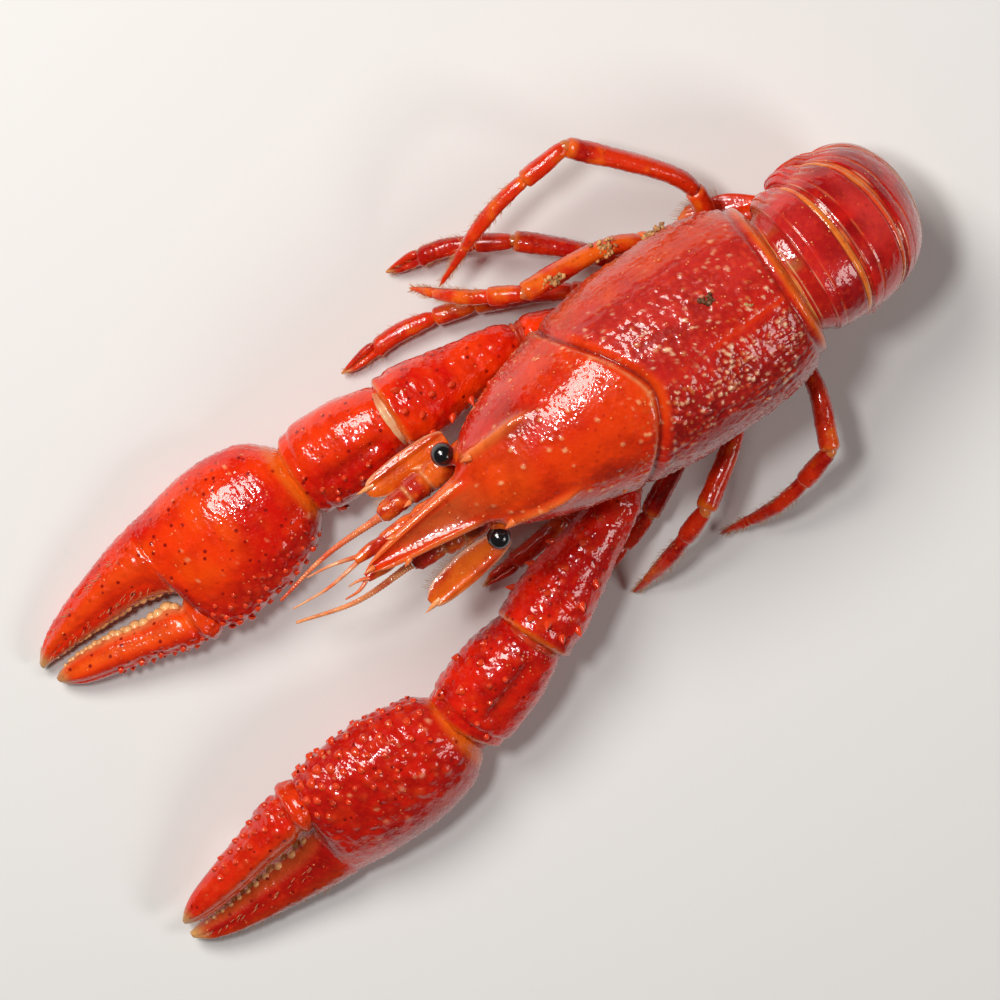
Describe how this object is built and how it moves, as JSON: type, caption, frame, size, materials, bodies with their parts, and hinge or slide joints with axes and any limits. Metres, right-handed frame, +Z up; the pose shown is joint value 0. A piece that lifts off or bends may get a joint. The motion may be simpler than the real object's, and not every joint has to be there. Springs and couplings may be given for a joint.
{
  "type": "cooked crayfish",
  "caption": "Whole boiled crayfish lying belly down: domed carapace with pointed rostrum, spiny claws held forward, slender walking legs and a tail curled under with its fan tucked below.",
  "frame": {"origin": "the middle of the whole animal's footprint, on the surface it rests on", "axes": "+Z up, out of the animal's back; +Y from the claws towards the tail; +X towards the animal's left side"},
  "size_m": [0.0542, 0.1052, 0.0274],
  "materials": {
    "shell_red": "wet glossy boiled shell, crimson",
    "shell_orange": "wet glossy boiled shell, orange",
    "claw_red": "wet glossy boiled shell, scarlet and granular",
    "leg_red": "wet glossy thin shell, red",
    "eye_black": "glossy black bead"
  },
  "bodies": {
    "root": {"carapace": "shell_red", "abdomen_ring_1": "shell_red", "abdomen_ring_2": "shell_red", "abdomen_ring_3": "shell_red", "abdomen_ring_4": "shell_red", "abdomen_ring_5": "shell_red", "abdomen_ring_6": "shell_red", "telson": "shell_red", "uropod_outer_right": "shell_red", "uropod_outer_left": "shell_red", "sternum": "shell_orange", "uropod_inner_right": "shell_orange", "uropod_inner_left": "shell_orange", "antenna_stem_right": "shell_orange", "antenna_scale_right": "shell_orange", "antenna_whip_right": "shell_orange", "antennule_right": "shell_orange", "mouth_leg_right": "shell_orange", "antenna_stem_left": "shell_orange", "antenna_scale_left": "shell_orange", "antenna_whip_left": "shell_orange", "antennule_left": "shell_orange", "mouth_leg_left": "shell_orange", "claw_right_hip": "claw_red", "claw_right_arm": "claw_red", "claw_right_wrist": "claw_red", "claw_right_hand": "claw_red", "claw_right_finger": "claw_red", "claw_left_hip": "claw_red", "claw_left_arm": "claw_red", "claw_left_wrist": "claw_red", "claw_left_hand": "claw_red", "claw_left_finger": "claw_red", "leg_right_1_upper": "leg_red", "leg_right_1_lower": "leg_red", "leg_right_2_upper": "leg_red", "leg_right_2_lower": "leg_red", "leg_right_3_upper": "leg_red", "leg_right_3_lower": "leg_red", "leg_right_4_upper": "leg_red", "leg_right_4_lower": "leg_red", "leg_left_1_upper": "leg_red", "leg_left_1_lower": "leg_red", "leg_left_2_upper": "leg_red", "leg_left_2_lower": "leg_red", "leg_left_3_upper": "leg_red", "leg_left_3_lower": "leg_red", "leg_left_4_upper": "leg_red", "leg_left_4_lower": "leg_red", "eye_right": "eye_black", "eye_left": "eye_black"}
  },
  "joints": []
}
